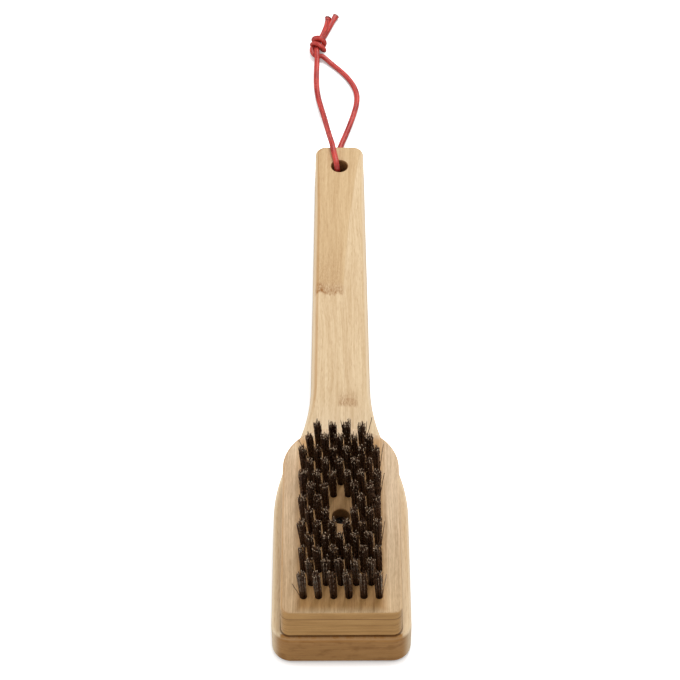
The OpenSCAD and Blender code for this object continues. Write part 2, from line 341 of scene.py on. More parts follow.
class Strips(Effect):
    """The glued strips and layers that a bamboo board is pressed from."""

    name = "bamboo_strips"
    inputs = {"Place": Kind.VECTOR} | dict.fromkeys(
        ("Top", "Layer", "Width", "Seam", "Slant"), Kind.NUMBER
    )
    outputs = dict.fromkeys(("Tone", "Glue", "Ply", "Side"), Kind.NUMBER)
    bend_y = 164.0
    straight_before = -30.0
    bend = 0.0006
    layer_shift = 0.37

    @classmethod
    def build(cls, graph: Graph, given: Outputs) -> dict[str, Socket]:
        """Counts the strips from a seam, which bends a little, and the layers down from the top.

        Args:
            graph: The group's graph.
            given: The group's inputs.

        Returns:
            What each of the group's outputs gives.
        """
        place = graph.split(given["Place"])
        layers = graph.math("DIVIDE", graph.minus(given["Top"], place[2]), given["Layer"])
        layer = graph.math("FLOOR", graph.math("MAXIMUM", layers, 0.001))
        along = graph.math("MAXIMUM", graph.minus(place[1], cls.bend_y), cls.straight_before)
        lean = graph.ramp(along, given["Slant"], graph.times(along, along, cls.bend))
        side = graph.minus(graph.minus(place[0], given["Seam"]), lean)
        strips = graph.ramp(layer, cls.layer_shift, graph.math("DIVIDE", side, given["Width"]))
        number = graph.join(graph.math("FLOOR", strips), layer, 0.0)
        tone = graph.node("ShaderNodeTexWhiteNoise", {"Vector": number}).outputs["Value"]
        across = graph.times(graph.math("PINGPONG", strips, 0.5), given["Width"])
        down = graph.times(graph.math("PINGPONG", layers, 0.5), given["Layer"])
        line = graph.between(down, 0.05, 0.45, 1.0, 0.0)
        inside = graph.between(layers, 0.5, 0.7)
        above = graph.between(place[2], 2.0, 2.6)
        return {
            "Tone": tone,
            "Glue": graph.between(across, 0.05, 0.32, 1.0, 0.0),
            "Ply": graph.times(line, inside, above),
            "Side": side,
        }


class NodeMark(Effect):
    """The dark, ragged band where a bamboo stem had a joint, across one strip."""

    name = "bamboo_joint"
    inputs = {
        "Place": Kind.VECTOR,
        "Middle": Kind.VECTOR,
        "Half width": Kind.NUMBER,
        "Length": Kind.NUMBER,
    }
    outputs = {"Mark": Kind.NUMBER}
    ragged = (0.45, 0.02, 0.3)
    raggedness = 9.0
    specks = (1.5, 0.5, 1.5)

    @classmethod
    def build(cls, graph: Graph, given: Outputs) -> dict[str, Socket]:
        """A band that starts sharply and fades along the grain, broken into specks and points.

        Args:
            graph: The group's graph.
            given: The group's inputs.

        Returns:
            What each of the group's outputs gives.
        """
        away = graph.split(graph.vector("SUBTRACT", given["Place"], given["Middle"]))
        ragged = graph.noise(given["Place"], cls.ragged)
        late = graph.math("ADD", away[1], cls.raggedness / 2)
        start = graph.ramp(ragged, -cls.raggedness, late)
        share = graph.math("DIVIDE", start, given["Length"])
        sharp = graph.between(share, -0.08, 0.1)
        fade = graph.between(share, 0.1, 1.0, 1.0, 0.0)
        off = graph.math("DIVIDE", graph.unsigned(away[0]), given["Half width"])
        width = graph.between(off, 0.75, 1.05, 1.0, 0.0)
        near = graph.between(graph.unsigned(away[2]), 2.0, 3.5, 1.0, 0.0)
        specks = graph.noise(given["Place"], cls.specks, 3.0, 0.7)
        broken = graph.between(specks, 0.38, 0.62, 0.25, 1.0)
        return {"Mark": graph.times(sharp, fade, width, near, broken)}


class Mottle(Effect):
    """Small irregular spots in a surface, for leather and for dull steel."""

    name = "mottle"
    inputs = {"Place": Kind.VECTOR, "Size": Kind.NUMBER}
    outputs = {"Spots": Kind.NUMBER, "Grain": Kind.NUMBER}

    @classmethod
    def build(cls, graph: Graph, given: Outputs) -> dict[str, Socket]:
        """Two sizes of noise, the finer one a quarter of the other.

        Args:
            graph: The group's graph.
            given: The group's inputs.

        Returns:
            What each of the group's outputs gives.
        """
        scaled = graph.vector("DIVIDE", given["Place"], graph.join(*[given["Size"]] * 3))
        return {
            "Spots": graph.noise(scaled, (1.0, 1.0, 1.0), 3.0, 0.6),
            "Grain": graph.noise(scaled, (4.0, 4.0, 4.0), 2.0, 0.6),
        }


class Finish:
    """The finish of a surface, which makes one material."""

    name: str

    def material(self) -> Material:
        """Builds the material.

        Returns:
            The material.
        """
        material = bpy.data.materials.new(self.name)
        material.use_nodes = True
        material.node_tree.nodes.clear()
        graph = Graph(material.node_tree)
        shader = graph.node("ShaderNodeBsdfPrincipled", self.surface(graph))
        graph.node("ShaderNodeOutputMaterial", {"Surface": shader.outputs[0]})
        return material

    def surface(self, graph: Graph) -> dict[str, object]:
        """What the shader's inputs are joined to or set to. Each finish has its own."""
        raise NotImplementedError


@dataclass(frozen=True)
class JointMark:
    """A stem joint that shows in a board."""

    middle: Place
    half_width: float
    length: float
    strength: float


@dataclass(frozen=True)
class TintedPatch:
    """A patch of wood given a tint or colour, seen from above; on the block and on the ledge it is
    painted shade.
    """

    middle_y: float
    half_width: float
    half_length: float
    fade: float
    tint: Colour
    middle_x: float = 0.0

    def share(self, graph: Graph, place: Socket) -> Socket:
        """How far a point lies inside the patch, from 0 to 1.

        Args:
            graph: The material's graph.
            place: Where the point is on the flat wood.

        Returns:
            The share.
        """
        spot = graph.split(place)
        across = graph.minus(graph.unsigned(graph.minus(spot[0], self.middle_x)), self.half_width)
        along = graph.minus(graph.unsigned(graph.minus(spot[1], self.middle_y)), self.half_length)
        out = graph.math("MAXIMUM", across, along)
        return graph.between(out, -self.fade, self.fade, 1.0, 0.0)


@dataclass(frozen=True)
class BambooFinish(Finish):
    """Sanded, lightly oiled bamboo board, with its strips, fibres, joints and end grain, and with
    painted shade on its left edge, ledge, foot and round the block and painted highlight on its
    rounded sides.
    """

    name: str
    pale: Colour
    deep: Colour
    end_pale: Colour
    end_deep: Colour
    top: float
    foot: float
    layer: float
    strip: float
    seam: float
    slant: float
    fineness: float
    glue: float
    marks: tuple[JointMark, ...] = ()
    tinted_patches: tuple[TintedPatch, ...] = ()
    dark_beyond: float | None = None
    left_shade_from: float = -10.0
    ply: float = 0.5
    ledge_shade: TintedPatch | None = None
    end_patch: float = 0.0
    side_highlight: float = 0.0
    darker_stem: Colour = (0.9, 0.84, 0.74, 1.0)
    darker_end: Colour = (0.74, 0.68, 0.6, 1.0)
    dash_colour: Colour = rgb(166, 122, 80)
    mark_colour: Colour = rgb(146, 92, 28)
    glue_colour: Colour = rgb(160, 120, 76)
    left_edge_shade: Colour = rgb(178, 130, 80)
    side_highlight_colour: Colour = rgb(246, 226, 196)
    ply_colour: Colour = rgb(112, 72, 34)
    foot_shade_colour: Colour = rgb(84, 50, 20)
    contact_shade_colour: Colour = rgb(96, 56, 18)

    def grain_colour(self, graph: Graph, place: Socket, strips: Outputs, fibres: Outputs) -> Socket:
        """The colour of faces that show the grain from the side.

        Args:
            graph: The material's graph.
            place: Where the point is on the flat wood.
            strips: What the glued strips give.
            fibres: What the fibres give.

        Returns:
            The colour.
        """
        depth = graph.between(fibres["Streak"], 0.32, 0.72)
        depth = graph.ramp(graph.between(fibres["Line"], 0.35, 0.7), 0.8, depth)
        depth = graph.ramp(graph.between(fibres["Speckle"], 0.3, 0.7), 0.7, depth)
        depth = graph.ramp(strips["Tone"], 0.3, depth)
        depth = graph.ramp(fibres["Cloud"], 0.4, depth)
        colour = graph.mix(graph.times(depth, 0.33), self.pale, self.deep)
        if self.dark_beyond is not None:
            along = graph.split(place)[1]
            beyond = graph.between(along, self.dark_beyond - 3, self.dark_beyond + 3)
            stem = graph.times(beyond, graph.between(strips["Side"], -0.5, 0.5, 1.0, 0.0))
            colour = graph.tint(stem, colour, self.darker_stem)
        colour = graph.mix(graph.times(fibres["Dash"], 0.3), colour, self.dash_colour)
        for mark in self.marks:
            values = {
                "Place": place,
                "Middle": mark.middle,
                "Half width": mark.half_width,
                "Length": mark.length,
            }
            seen = graph.group(NodeMark, values)["Mark"]
            colour = graph.mix(graph.times(seen, mark.strength), colour, self.mark_colour)
        colour = graph.mix(graph.times(strips["Glue"], self.glue), colour, self.glue_colour)
        # Tinted patches: painted shade on the block, a paler patch on the board.
        for tinted in self.tinted_patches:
            colour = graph.tint(tinted.share(graph, place), colour, tinted.tint)
        return colour

    def end_colour(self, graph: Graph, place: Socket) -> Socket:
        """The colour of sawn end grain, in layers that lie flat.

        Args:
            graph: The material's graph.
            place: Where the point is on the flat wood.

        Returns:
            The colour.
        """
        layers = graph.between(graph.noise(place, (0.045, 0.3, 0.8), 3.0, 0.65), 0.3, 0.7)
        dots = graph.noise(place, (0.8, 0.3, 1.9), 2.0, 0.7)
        depth = graph.ramp(graph.ramp(dots, 0.5, layers), 0.5, 0.12)
        colour = graph.mix(depth, self.end_pale, self.end_deep)
        patches = graph.noise(place, (0.1, 0.1, 0.22), 3.0, 0.6)
        patch = graph.times(graph.between(patches, 0.48, 0.66), self.end_patch)
        return graph.tint(patch, colour, self.darker_end)

    def painted_side_light(self, graph: Graph, wood: Outputs, colour: Socket) -> Socket:
        """Painted shade on the left edge, which faces away from the light, and painted highlight on
        the rounded sides.

        Args:
            graph: The material's graph.
            wood: Where the point is on the wood, and which way it faces.
            colour: The grain's colour.

        Returns:
            The colour with its painted shade and highlight.
        """
        start = graph.between(wood["Left"], 0.03, 0.16)
        turned = graph.between(wood["Left"], 0.3, 0.9, 0.5, 0.05)
        low = self.left_shade_from
        from_here = graph.between(graph.split(wood["Place"])[1], low - 12, low + 12)
        colour = graph.mix(graph.times(start, turned, from_here), colour, self.left_edge_shade)
        sideways = graph.unsigned(wood["Left"])
        outside = graph.between(sideways, 0.3, 0.75, 0.0, self.side_highlight)
        flat = graph.between(sideways, 0.9, 1.0, 1.0, 0.35)
        return graph.mix(graph.times(outside, flat), colour, self.side_highlight_colour)

    def layer_lines(self, graph: Graph, height: Socket, ply: Socket, colour: Socket) -> Socket:
        """The glue lines between the layers, and painted shade along the foot, where the wood meets
        what it stands on.

        Args:
            graph: The material's graph.
            height: How high the point is on the wood.
            ply: How near the point is to a layer's edge.
            colour: The wood's colour.

        Returns:
            The colour with its lines.
        """
        first = graph.between(height, self.top - self.layer * 1.5, self.top - self.layer, 0.35, 1.0)
        colour = graph.mix(graph.times(ply, first, self.ply), colour, self.ply_colour)
        # Painted shade along the foot.
        foot_shade = graph.between(height, self.foot, self.foot + 1.1, 0.85, 0.0)
        return graph.mix(foot_shade, colour, self.foot_shade_colour)

    def block_contact_shade(self, graph: Graph, place: Socket) -> Socket:
        """Painted shade: a thin dark line on the board round the block's front and sides, where the
        block stands on it.

        Args:
            graph: The material's graph.
            place: Where the point is on the flat wood.

        Returns:
            How much of the line shows there, from 0 to 1.
        """
        spot = graph.split(place)
        corner_x = BLOCK_WIDTH / 2 - BLOCK_CORNER
        corner_y = BLOCK_LEDGE + BLOCK_CORNER
        across = graph.math("MAXIMUM", graph.minus(graph.unsigned(spot[0]), corner_x), 0.0)
        forward = graph.math("MAXIMUM", graph.minus(corner_y, spot[1]), 0.0)
        squares = graph.ramp(across, across, graph.times(forward, forward))
        away = graph.minus(graph.math("SQRT", squares), BLOCK_CORNER)
        line = graph.between(away, 0.15, 0.75, 1.0, 0.0)
        fade = graph.between(spot[1], corner_y, 24.0, 1.0, 0.3)
        end = graph.between(spot[1], 60.0, 76.0, 1.0, 0.0)
        return graph.times(line, fade, end)

    def paint_ledge_shade(
        self, graph: Graph, wood: Outputs, height: Socket, streak: Socket, colour: Socket
    ) -> Socket:
        """Painted shade on the strip of the board in front of the block, which the block shades, and
        painted contact shade round the block.

        Args:
            graph: The material's graph.
            wood: Where the point is on the wood, and which way it faces.
            height: How high the point is on the wood.
            streak: The grain's broad streaks.
            colour: The wood's colour.

        Returns:
            The colour with its painted ledge shade.
        """
        above = graph.between(height, self.top - 2.6, self.top - 1.4)
        uneven = graph.between(streak, 0.3, 0.7, 0.92, 0.72)
        facing = graph.between(wood["End"], 0.0, 1.0, 1.0, 0.35)
        inside = self.ledge_shade.share(graph, wood["Place"])
        ledge_shade_share = graph.times(uneven, facing, inside, above)
        colour = graph.mix(ledge_shade_share, colour, self.ledge_shade.tint)
        # Painted contact shade round the block's foot.
        seam = graph.times(self.block_contact_shade(graph, wood["Place"]), above, 0.7)
        return graph.mix(seam, colour, self.contact_shade_colour)

    def surface(self, graph: Graph) -> dict[str, object]:
        """Grain on the faces and sides, layers on the ends, and fine relief along the fibres.

        Args:
            graph: The material's graph.

        Returns:
            What each of the shader's inputs is joined to or set to.
        """
        wood = graph.group(WoodPlace)
        place = wood["Place"]
        height = graph.split(place)[2]
        sizes = {
            "Place": place,
            "Top": self.top,
            "Layer": self.layer,
            "Width": self.strip,
            "Seam": self.seam,
            "Slant": self.slant,
        }
        strips = graph.group(Strips, sizes)
        fine_place = graph.vector("MULTIPLY", place, (self.fineness, 1.0, self.fineness))
        fibres = graph.group(Fibres, {"Place": fine_place})
        colour = self.grain_colour(graph, place, strips, fibres)
        colour = self.painted_side_light(graph, wood, colour)
        colour = graph.mix(wood["End"], colour, self.end_colour(graph, place))
        colour = self.layer_lines(graph, height, strips["Ply"], colour)
        if self.ledge_shade:
            colour = self.paint_ledge_shade(graph, wood, height, fibres["Streak"], colour)
        relief = graph.ramp(fibres["Dash"], -0.6, fibres["Line"])
        return {
            "Base Color": colour,
            "Roughness": graph.ramp(fibres["Line"], 0.18, 0.46),
            "Specular IOR Level": 0.3,
            "Normal": graph.bump(relief, 0.2, 0.0002),
        }


@dataclass(frozen=True)
class DrilledFinish(Finish):
    """The wall of a drilled hole in bamboo: torn fibres in two browns, the darker one painted shade
    inside the hole.
    """

    name: str = "drilled_bamboo"
    rim: Colour = rgb(170, 120, 64)
    hole_shade: Colour = rgb(88, 57, 26)

    def surface(self, graph: Graph) -> dict[str, object]:
        """Rings round the hole, crossed by the fibres.

        Args:
            graph: The material's graph.

        Returns:
            What each of the shader's inputs is joined to or set to.
        """
        place = graph.group(WoodPlace)["Place"]
        fibres = graph.group(Fibres, {"Place": place})
        rings = graph.noise(place, (0.5, 0.5, 5.0))
        share = graph.ramp(rings, 0.5, graph.times(fibres["Line"], 0.6))
        return {
            "Base Color": graph.mix(share, self.hole_shade, self.rim),
            "Roughness": graph.ramp(rings, 0.2, 0.6),
            "Normal": graph.bump(rings, 0.5, 0.0003),
        }


@dataclass(frozen=True)
class WireFinish(Finish):
    """Tempered brown-black wire, with painted reflection along the front row's wires, and bright where
    it was cut.
    """

    name: str = "tempered_wire"
    dark: Colour = rgb(60, 38, 26)
    brown: Colour = rgb(108, 76, 54)
    front_reflection: Colour = rgb(172, 160, 146)
    bright: Colour = rgb(204, 182, 156)
    front_row: tuple[float, float] = (-140.0, -132.0)

    def surface(self, graph: Graph) -> dict[str, object]:
        """Each wire's own shade of brown, with the painted reflection along its length and its cut
        tip.

        Args:
            graph: The material's graph.

        Returns:
            What each of the shader's inputs is joined to or set to.
        """
        along = graph.attribute("along")
        shade = graph.attribute("shade")
        place = graph.millimetres()
        mottle = graph.group(Mottle, {"Place": place, "Size": 0.6})
        share = graph.ramp(mottle["Spots"], 0.6, graph.times(shade, 0.5))
        colour = graph.mix(share, self.dark, self.brown)
        # Painted reflection on some wires, strong in the front row and faint behind it.
        front = graph.between(graph.split(place)[1], *self.front_row, 0.85, 0.12)
        some = graph.between(shade, 0.55, 0.75)
        front_reflection = graph.times(some, graph.between(along, 0.15, 0.5), front)
        colour = graph.mix(front_reflection, colour, self.front_reflection)
        tip = graph.times(graph.between(along, 0.93, 1.0), graph.between(shade, 0.45, 0.8))
        return {
            "Base Color": graph.mix(tip, colour, self.bright),
            "Metallic": 0.85,
            "Roughness": graph.ramp(mottle["Grain"], 0.3, 0.22),
        }


@dataclass(frozen=True)
class LaceFinish(Finish):
    """Dyed leather lace, creased along its length, with painted shade in its creases and painted
    highlight in spots, undyed where it is cut.
    """

    name: str = "red_lace"
    red: Colour = rgb(208, 64, 52)
    deep: Colour = rgb(148, 20, 20)
    pale_highlight: Colour = rgb(222, 112, 98)
    cut: Colour = rgb(132, 92, 82)

    def surface(self, graph: Graph) -> dict[str, object]:
        """Painted crease shade and painted highlight spots in the lace's own coordinates, in
        millimetres from its cut end.

        Args:
            graph: The material's graph.

        Returns:
            What each of the shader's inputs is joined to or set to.
        """
        straight = graph.attribute("straight", "Vector")
        creases = graph.noise(straight, (1.6, 1.6, 0.12), 3.0, 0.6)
        mottle = graph.group(Mottle, {"Place": straight, "Size": 1.1})
        # Painted shade along the creases.
        colour = graph.mix(graph.between(creases, 0.35, 0.68), self.deep, self.red)
        pale_highlight = graph.times(graph.between(mottle["Spots"], 0.5, 0.72), 0.55)
        colour = graph.mix(pale_highlight, colour, self.pale_highlight)
        at_cut = graph.between(graph.split(straight)[2], 0.1, 1.6, 0.75, 0.0)
        return {
            "Base Color": graph.mix(at_cut, colour, self.cut),
            "Roughness": graph.ramp(mottle["Spots"], 0.3, 0.3),
            "Normal": graph.bump(graph.ramp(mottle["Grain"], 0.35, creases), 0.45, 0.0002),
        }


@dataclass(frozen=True)
class SteelFinish(Finish):
    """Plain or blackened steel with dull spots."""

    name: str
    light: Colour
    dark: Colour

    def surface(self, graph: Graph) -> dict[str, object]:
        """Spots of two shades.

        Args:
            graph: The material's graph.

        Returns:
            What each of the shader's inputs is joined to or set to.
        """
        mottle = graph.group(Mottle, {"Place": graph.millimetres(), "Size": 0.8})
        return {
            "Base Color": graph.mix(graph.between(mottle["Spots"], 0.35, 0.65), self.dark, self.light),
            "Metallic": 0.9,
            "Roughness": graph.ramp(mottle["Grain"], 0.25, 0.3),
        }


@dataclass(frozen=True)
class FloorFinish(Finish):
    """A plain white table top that glows for the camera, with painted shade from ambient occlusion
    only close under the brush.
    """

    name: str = "table_top"
    seen: Colour = rgb(250, 250, 250)
    bounced: Colour = rgb(190, 186, 180)
    glow: float = 0.85
    reach: float = 0.005

    def surface(self, graph: Graph) -> dict[str, object]:
        """White that glows for the camera only, less where the brush is close.

        Args:
            graph: The material's graph.

        Returns:
            What each of the shader's inputs is joined to or set to.
        """
        camera = graph.node("ShaderNodeLightPath").outputs["Is Camera Ray"]
        inputs = {"Distance": self.reach}
        free = graph.node("ShaderNodeAmbientOcclusion", inputs, samples=12).outputs["AO"]
        return {
            "Base Color": graph.mix(camera, self.bounced, self.seen),
            "Emission Strength": graph.times(free, free, self.glow, camera),
            "Emission Color": self.seen,
            "Roughness": 0.9,
            "Specular IOR Level": 0.1,
        }


class WoodPart(Enum):
    """Which material slot a face of a wooden piece takes."""

    SURFACE = 0
    DRILLED = 1


@dataclass(frozen=True)
class RimPoint:
    """A point of an outline, the way that the outline faces there, and its edge rounding."""

    x: float
    y: float
    face_x: float
    face_y: float
    edge: float


def rim_arc(
    centre: tuple[float, float], radius: float, start: float, end: float, edge: float, steps: int
) -> list[RimPoint]:
    """Outline points on an arc.

    Args:
        centre: The arc's centre.
        radius: The arc's radius, less than 0 where the outline is hollow.
        start: The angle of the first point, in degrees.
        end: The angle of the last point, in degrees.
        edge: The edge rounding there.
        steps: How many steps the arc has.

    Returns:
        The points, in order.
    """
    points = []
    for step in range(steps + 1):
        turn = math.radians(start + (end - start) * step / steps)
        face_x = math.cos(turn)
        face_y = math.sin(turn)
        x = centre[0] + radius * face_x
        y = centre[1] + radius * face_y
        points.append(RimPoint(x, y, face_x, face_y, edge))
    return points


def both_sides(half: Sequence[RimPoint]) -> list[RimPoint]:
    """A whole outline from its right half, which runs from the front to the back."""
    left = [RimPoint(-p.x, p.y, -p.face_x, p.face_y, p.edge) for p in reversed(half)]
    return [*half, *left]


def finish_piece(
    name: str, mesh: BMesh, materials: Sequence[Material]
) -> bpy.types.Object:
    """Makes an object of a mesh that is already in the shared frame.

    Args:
        name: The object's name.
        mesh: The mesh, which is used up.
        materials: The object's materials, in the order of its faces' numbers.

    Returns:
        The object.
    """
    for face in mesh.faces:
        face.smooth = True
    data = bpy.data.meshes.new(name)
    mesh.to_mesh(data)
    mesh.free()
    for material in materials:
        data.materials.append(material)
    piece = bpy.data.objects.new(name, data)
    bpy.context.scene.collection.objects.link(piece)
    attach(piece, BODY)
    log.info("%s: %d faces", name, len(data.polygons))
    return piece


class Slab:
    """A board cut to an outline, with rounded edges and round holes."""

    crease = math.radians(32)
    edge_steps = 6

    def __init__(self, rim: Sequence[RimPoint], bottom: float, top: float) -> None:
        """Starts an empty mesh for the given outline and heights.

        Args:
            rim: The outline.
            bottom: The height of its underside.
            top: The height of its top.
        """
        self.rim = rim
        self.bottom = bottom
        self.top = top
        self.mesh = bmesh.new()
        self.order = self.mesh.verts.layers.int.new("order")
        self.open_top: list[BMEdge] = []
        self.open_bottom: list[BMEdge] = []

    def ring(self, count: int) -> list[BMEdge]:
        """A new loop of edges whose points are numbered round it.

        Args:
            count: How many points it has.

        Returns:
            The loop's edges.
        """
        made = bmesh.ops.create_circle(self.mesh, cap_ends=False, segments=count, radius=1.0)
        for number, vertex in enumerate(made["verts"]):
            vertex[self.order] = number
        inside = set(made["verts"])
        return [e for e in self.mesh.edges if e.verts[0] in inside and e.verts[1] in inside]

    def grow(self, edges: Iterable[BMEdge]) -> list[BMEdge]:
        """Extrudes a loop and gives the new one.

        Args:
            edges: The loop.

        Returns:
            The new loop's edges.
        """
        made = bmesh.ops.extrude_edge_only(self.mesh, edges=list(edges))["geom"]
        fresh = {item for item in made if isinstance(item, BMVert)}
        lines = [item for item in made if isinstance(item, BMEdge)]
        return [e for e in lines if e.verts[0] in fresh and e.verts[1] in fresh]

    def shape_rim(self, edges: Iterable[BMEdge], turn: float, low: bool) -> None:
        """Moves a loop to one level of the rounded edge.

        Args:
            edges: The loop.
            turn: How far round the edge the level is, from 0 on the flat to 90 on the side.
            low: Whether it is the bottom edge.
        """
        angle = math.radians(turn)
        for vertex in {v for edge in edges for v in edge.verts}:
            point = self.rim[vertex[self.order]]
            inset = point.edge * (1 - math.sin(angle))
            rise = point.edge * (1 - math.cos(angle))
            height = self.bottom + rise if low else self.top - rise
            x = point.x - point.face_x * inset
            y = point.y - point.face_y * inset
            vertex.co = (x, y, height)

    def shape_hole(
        self, edges: Iterable[BMEdge], centre: tuple[float, float], radius: float, z: float
    ) -> None:
        """Moves a loop to a circle.

        Args:
            edges: The loop.
            centre: The circle's centre.
            radius: The circle's radius.
            z: The circle's height.
        """
        points = {v for edge in edges for v in edge.verts}
        for vertex in points:
            turn = math.tau * vertex[self.order] / len(points)
            x = centre[0] + radius * math.cos(turn)
            y = centre[1] + radius * math.sin(turn)
            vertex.co = (x, y, z)

    def walls(self, round_bottom: bool) -> None:
        """Draws the edges and sides.

        Args:
            round_bottom: Whether the bottom edge is rounded as the top one is.
        """
        turns = [90 * step / self.edge_steps for step in range(self.edge_steps + 1)]
        loop = self.ring(len(self.rim))
        if round_bottom:
            self.shape_rim(loop, 0, True)
            self.open_bottom += loop
            for turn in turns[1:]:
                loop = self.grow(loop)
                self.shape_rim(loop, turn, True)
        else:
            self.shape_rim(loop, 90, True)
            self.open_bottom += loop
        for vertex in {v for edge in loop for v in edge.verts}:
            vertex.co.z = max(vertex.co.z, self.bottom)
        for turn in reversed(turns):
            loop = self.grow(loop)
            self.shape_rim(loop, turn, False)
        self.open_top += loop

    def through_hole(self, centre: tuple[float, float], radius: float, chamfer: float) -> None:
        """Drills a hole through the slab, with both its rims broken.

        Args:
            centre: The hole's centre.
            radius: The hole's radius.
            chamfer: The size of the broken rims.
        """
        loop = self.ring(HOLE_SIDES)
        self.shape_hole(loop, centre, radius + chamfer, self.bottom)
        self.open_bottom += loop
        before = set(self.mesh.faces)
        for height in (self.bottom + chamfer, self.top - chamfer):
            loop = self.grow(loop)
            self.shape_hole(loop, centre, radius, height)
        for face in set(self.mesh.faces) - before:
            face.material_index = WoodPart.DRILLED.value
        loop = self.grow(loop)
        self.shape_hole(loop, centre, radius + chamfer, self.top)
        self.open_top += loop

    def blind_hole(
        self, centre: tuple[float, float], radius: float, depth: float, chamfer: float, sides: int
    ) -> None:
        """Drills a hole down from the top.

        Args:
            centre: The hole's centre.
            radius: The hole's radius.
            depth: How deep it goes.
            chamfer: The size of its broken rim.
            sides: How many sides its loop has.
        """
        loop = self.ring(sides)
        self.shape_hole(loop, centre, radius + chamfer, self.top)
        self.open_top += loop
        loop = self.grow(loop)
        self.shape_hole(loop, centre, radius, self.top - chamfer)
        before = set(self.mesh.faces)
        loop = self.grow(loop)
        self.shape_hole(loop, centre, radius, self.top - depth)
        bmesh.ops.triangle_fill(self.mesh, use_beauty=True, edges=loop)
        for face in set(self.mesh.faces) - before:
            face.material_index = WoodPart.DRILLED.value

    def close(self) -> None:
        """Closes the flat top and bottom round their holes."""
        for edges, up in ((self.open_top, 1.0), (self.open_bottom, -1.0)):
            bmesh.ops.triangle_fill(self.mesh, use_beauty=True, edges=edges, normal=(0, 0, up))
        bmesh.ops.recalc_face_normals(self.mesh, faces=self.mesh.faces[:])
        for edge in self.mesh.edges:
            edge.smooth = edge.calc_face_angle(0.0) < self.crease

    def finish(self, name: str, surface: Material, drilled: Material) -> bpy.types.Object:
        """Makes a piece whose flat faces decide the shading beside their rounded edges.

        Args:
            name: The piece's name.
            surface: The material of its outside.
            drilled: The material of its holes.

        Returns:
            The piece.
        """
        bmesh.ops.transform(self.mesh, matrix=wood_matrix(), verts=self.mesh.verts[:])
        piece = finish_piece(name, self.mesh, (surface, drilled))
        modifier = piece.modifiers.new("weighted_normals", "WEIGHTED_NORMAL")
        modifier.weight = 100
        modifier.keep_sharp = True
        return piece


@dataclass
class HandleBoard:
    """The board that is paddle and handle in one, with its hang hole."""

    length: float = 305.0
    paddle_half: float = 30.5
    paddle_length: float = 66.5
    corner_radius: float = 8.5
    shoulder_radius: float = 83.0
    neck_radius: float = 105.0
    neck_half: float = 14.1
    end_half: float = 12.6
    end_corner: float = 5.5
    paddle_edge: float = 1.8
    grip_edge: float = 3.2
    end_edge: float = 2.0
    ease: float = 45.0
    hole_radius: float = 4.15
    hole_y: float = 290.0
    hole_chamfer: float = 0.45
    corner_steps: int = 12
    shoulder_steps: int = 14
    neck_steps: int = 16
    grip_steps: int = 24

    def neck_y(self) -> float:
        """Where the hollow curve ends and the straight handle starts."""
        return self.paddle_length + (self.shoulder_radius + self.neck_radius) * math.sin(self.turn())

    def turn(self) -> float:
        """The angle at which the shoulder meets the hollow curve."""
        reach = self.neck_half + self.neck_radius - self.paddle_half + self.shoulder_radius
        return math.acos(reach / (self.shoulder_radius + self.neck_radius))

    def edge_at(self, y: float) -> float:
        """The rounding of the long edges at a place along the board.

        Args:
            y: How far the place is from the front edge.

        Returns:
            The radius of the rounding.
        """
        places = [
            (0.0, self.paddle_edge),
            (self.paddle_length, self.paddle_edge),
            (self.neck_y(), self.grip_edge),
            (self.length - self.ease, self.grip_edge),
            (self.length - self.end_corner, self.end_edge),
            (self.length, self.end_edge),
        ]
        for (low, first), (high, second) in zip(places, places[1:]):
            if y <= high:
                return first + (second - first) * max(0.0, y - low) / (high - low)
        return self.end_edge

    def rim(self) -> list[RimPoint]:
        """The whole outline.

        Returns:
            The outline's points, in order.
        """
        front = (self.paddle_half - self.corner_radius, self.corner_radius)
        half = rim_arc(front, self.corner_radius, -90, 0, self.paddle_edge, self.corner_steps)
        turn = math.degrees(self.turn())
        shoulder = (self.paddle_half - self.shoulder_radius, self.paddle_length)
        curve = rim_arc(shoulder, self.shoulder_radius, 0, turn, 0.0, self.shoulder_steps)
        neck = (self.neck_half + self.neck_radius, self.neck_y())
        curve += rim_arc(neck, -self.neck_radius, turn, 0, 0.0, self.neck_steps)[1:]
        half += [replace(point, edge=self.edge_at(point.y)) for point in curve]
        end_y = self.length - self.end_corner
        run = end_y - self.neck_y()
        narrowing = (self.neck_half - self.end_half) / run
        for step in range(1, self.grip_steps):
            y = self.neck_y() + run * step / self.grip_steps
            x = self.neck_half - run * step / self.grip_steps * narrowing
            half.append(RimPoint(x, y, 1.0, narrowing, self.edge_at(y)))
        corner = (self.end_half - self.end_corner, end_y)
        half += rim_arc(corner, self.end_corner, 0, 90, self.end_edge, self.corner_steps)
        return both_sides(half)

    def build(self, surface: Material, drilled: Material) -> None:
        """Builds and dresses the board.

        Args:
            surface: The material of its outside.
            drilled: The material of its hang hole.
        """
        slab = Slab(self.rim(), 0.0, BOARD_TOP)
        slab.walls(round_bottom=True)
        slab.through_hole((0.0, self.hole_y), self.hole_radius, self.hole_chamfer)
        slab.close()
        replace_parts(slab.finish("bamboo_handle_board", surface, drilled), "handle_board")


